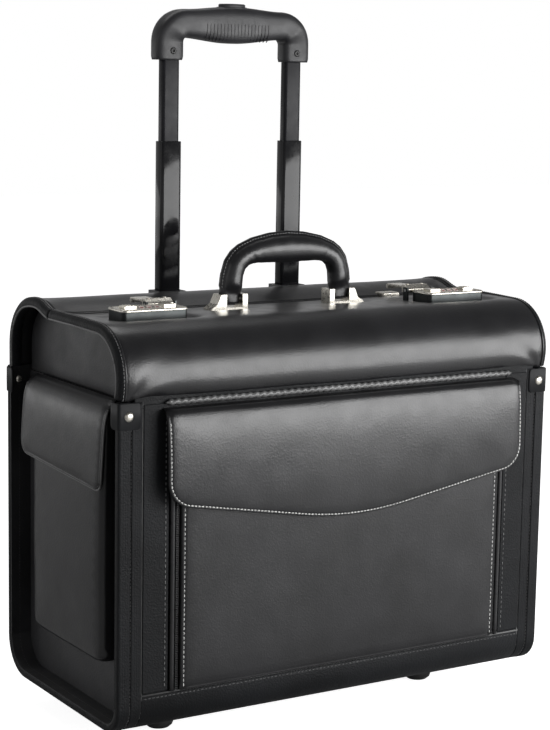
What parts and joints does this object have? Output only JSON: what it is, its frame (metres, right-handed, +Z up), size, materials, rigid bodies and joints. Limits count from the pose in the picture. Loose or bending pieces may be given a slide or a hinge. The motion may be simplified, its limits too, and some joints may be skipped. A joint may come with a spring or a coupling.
{
  "type": "pilot rolling flight case",
  "caption": "Upright black leather-look pilot case with a forward-opening lid, combination locks, outside pockets, carry handle, telescopic trolley handle and corner wheels.",
  "frame": {"origin": "middle of the footprint, on the floor that the feet and wheels stand on", "axes": "+Z up along the trolley tubes, -Y towards the front pocket, +X to the right of someone facing away from the front; the thickness is along Y"},
  "size_m": [0.492, 0.267, 0.697],
  "materials": {
    "leather": "satin black coated leather",
    "leather_trim": "satin black binding with pale thread",
    "end_panel": "matt black covered board",
    "base_board": "textured black sheet",
    "lining": "woven lining",
    "nickel": "bright nickel",
    "gunmetal": "satin gunmetal",
    "steel": "brushed",
    "dial_plastic": "satin number wheels",
    "zip_teeth": "nylon coil",
    "zip_metal": "black enamel",
    "tube_paint": "gloss black",
    "black_plastic": "moulded, lightly textured",
    "foot_rubber": "matt",
    "tyre_rubber": "matt",
    "hub_plastic": "moulded"
  },
  "bodies": {
    "case": {"front_board": "leather", "bottom_board": "base_board", "back_board": "leather", "rear_hood": "leather", "left_end_board": "end_panel", "right_end_board": "end_panel", "left_end_cap": "end_panel", "right_end_cap": "end_panel", "edge_bindings": "leather_trim", "hood_bindings": "leather_trim", "bottom_strip": "leather_trim", "front_welts": "leather_trim", "corner_clips": "nickel", "clip_rivets": "nickel", "left_side_pocket": "leather", "right_side_pocket": "leather", "front_pocket": "leather", "zip_chains": "zip_teeth", "trolley_cover": "lining", "outer_tubes": "tube_paint", "trolley_base": "steel", "tube_collars": "black_plastic", "wheel_housings": "black_plastic", "wheel_axles": "steel", "front_feet": "foot_rubber", "hasp_catches": "nickel"},
    "front_lid": {"front_lid": "leather", "lid_bindings": "leather_trim", "lock_bodies": "gunmetal", "lock_plates": "nickel", "lock_axles": "steel", "handle_brackets": "nickel", "handle_pins": "steel"},
    "carry_handle": {"handle_grip": "leather_trim"},
    "left_lock_slider": {"left_lock_slider": "nickel"},
    "right_lock_slider": {"right_lock_slider": "nickel"},
    "left_hasp": {"left_hasp": "nickel"},
    "right_hasp": {"right_hasp": "nickel"},
    "front_flap": {"front_flap": "leather"},
    "left_pocket_flap": {"left_pocket_flap": "leather"},
    "right_pocket_flap": {"right_pocket_flap": "leather"},
    "left_zip_slider": {"left_zip_slider": "zip_metal"},
    "right_zip_slider": {"right_zip_slider": "zip_metal"},
    "trolley_middle": {"middle_tubes": "tube_paint", "lock_pins": "steel"},
    "trolley_inner": {"inner_tubes": "tube_paint", "trolley_grip": "black_plastic", "grip_screws": "steel"},
    "grip_button": {"grip_button": "black_plastic"},
    "left_wheel": {"left_tyre": "tyre_rubber", "left_hub": "hub_plastic"},
    "right_wheel": {"right_tyre": "tyre_rubber", "right_hub": "hub_plastic"},
    "left_dial_1": {"left_dial_1": "dial_plastic"},
    "left_dial_2": {"left_dial_2": "dial_plastic"},
    "left_dial_3": {"left_dial_3": "dial_plastic"},
    "right_dial_1": {"right_dial_1": "dial_plastic"},
    "right_dial_2": {"right_dial_2": "dial_plastic"},
    "right_dial_3": {"right_dial_3": "dial_plastic"}
  },
  "joints": [
    {"name": "lid_hinge", "type": "hinge", "parent": "case", "child": "front_lid", "pos_m": [0, -0.123, 0.333], "axis": [1, 0, 0], "range_deg": [0, 90]},
    {"name": "handle_hinge", "type": "hinge", "parent": "front_lid", "child": "carry_handle", "pos_m": [0, -0.0075, 0.409], "axis": [1, 0, 0], "range_deg": [-75, 75]},
    {"name": "left_lock_slide", "type": "slide", "parent": "front_lid", "child": "left_lock_slider", "axis": [-1, 0, 0], "range_m": [0, 0.004], "stiffness_N_per_m": 300, "springref_m": -0.002},
    {"name": "left_hasp_hinge", "type": "hinge", "parent": "front_lid", "child": "left_hasp", "pos_m": [-0.15, -0.024, 0.41], "axis": [1, 0, 0], "range_deg": [0, 95]},
    {"name": "left_dial_1_spin", "type": "hinge", "parent": "front_lid", "child": "left_dial_1", "pos_m": [-0.181, -0.044, 0.4064], "axis": [1, 0, 0], "continuous": true},
    {"name": "left_dial_2_spin", "type": "hinge", "parent": "front_lid", "child": "left_dial_2", "pos_m": [-0.173, -0.044, 0.4064], "axis": [1, 0, 0], "continuous": true},
    {"name": "left_dial_3_spin", "type": "hinge", "parent": "front_lid", "child": "left_dial_3", "pos_m": [-0.165, -0.044, 0.4064], "axis": [1, 0, 0], "continuous": true},
    {"name": "right_lock_slide", "type": "slide", "parent": "front_lid", "child": "right_lock_slider", "axis": [1, 0, 0], "range_m": [0, 0.004], "stiffness_N_per_m": 300, "springref_m": -0.002},
    {"name": "right_hasp_hinge", "type": "hinge", "parent": "front_lid", "child": "right_hasp", "pos_m": [0.15, -0.024, 0.41], "axis": [1, 0, 0], "range_deg": [0, 95]},
    {"name": "right_dial_1_spin", "type": "hinge", "parent": "front_lid", "child": "right_dial_1", "pos_m": [0.165, -0.044, 0.4064], "axis": [1, 0, 0], "continuous": true},
    {"name": "right_dial_2_spin", "type": "hinge", "parent": "front_lid", "child": "right_dial_2", "pos_m": [0.173, -0.044, 0.4064], "axis": [1, 0, 0], "continuous": true},
    {"name": "right_dial_3_spin", "type": "hinge", "parent": "front_lid", "child": "right_dial_3", "pos_m": [0.181, -0.044, 0.4064], "axis": [1, 0, 0], "continuous": true},
    {"name": "front_flap_hinge", "type": "hinge", "parent": "case", "child": "front_flap", "pos_m": [0, -0.1265, 0.324], "axis": [-1, 0, 0], "range_deg": [0, 85]},
    {"name": "left_flap_hinge", "type": "hinge", "parent": "case", "child": "left_pocket_flap", "pos_m": [-0.2225, 0, 0.3325], "axis": [0, 1, 0], "range_deg": [0, 85]},
    {"name": "right_flap_hinge", "type": "hinge", "parent": "case", "child": "right_pocket_flap", "pos_m": [0.2225, 0, 0.3325], "axis": [0, -1, 0], "range_deg": [0, 85]},
    {"name": "left_zip_slide", "type": "slide", "parent": "case", "child": "left_zip_slider", "axis": [0, 0, -1], "range_m": [0, 0.17]},
    {"name": "right_zip_slide", "type": "slide", "parent": "case", "child": "right_zip_slider", "axis": [0, 0, -1], "range_m": [0, 0.17]},
    {"name": "middle_slide", "type": "slide", "parent": "case", "child": "trolley_middle", "axis": [0, 0, 1], "range_m": [-0.15, 0.14]},
    {"name": "inner_slide", "type": "slide", "parent": "trolley_middle", "child": "trolley_inner", "axis": [0, 0, 1], "range_m": [-0.078, 0.2]},
    {"name": "button_press", "type": "slide", "parent": "trolley_inner", "child": "grip_button", "axis": [0, 0, -1], "range_m": [0, 0.004], "stiffness_N_per_m": 400, "springref_m": -0.002},
    {"name": "left_wheel_spin", "type": "hinge", "parent": "case", "child": "left_wheel", "pos_m": [-0.154, 0.1075, 0.026], "axis": [1, 0, 0], "continuous": true},
    {"name": "right_wheel_spin", "type": "hinge", "parent": "case", "child": "right_wheel", "pos_m": [0.154, 0.1075, 0.026], "axis": [1, 0, 0], "continuous": true}
  ]
}
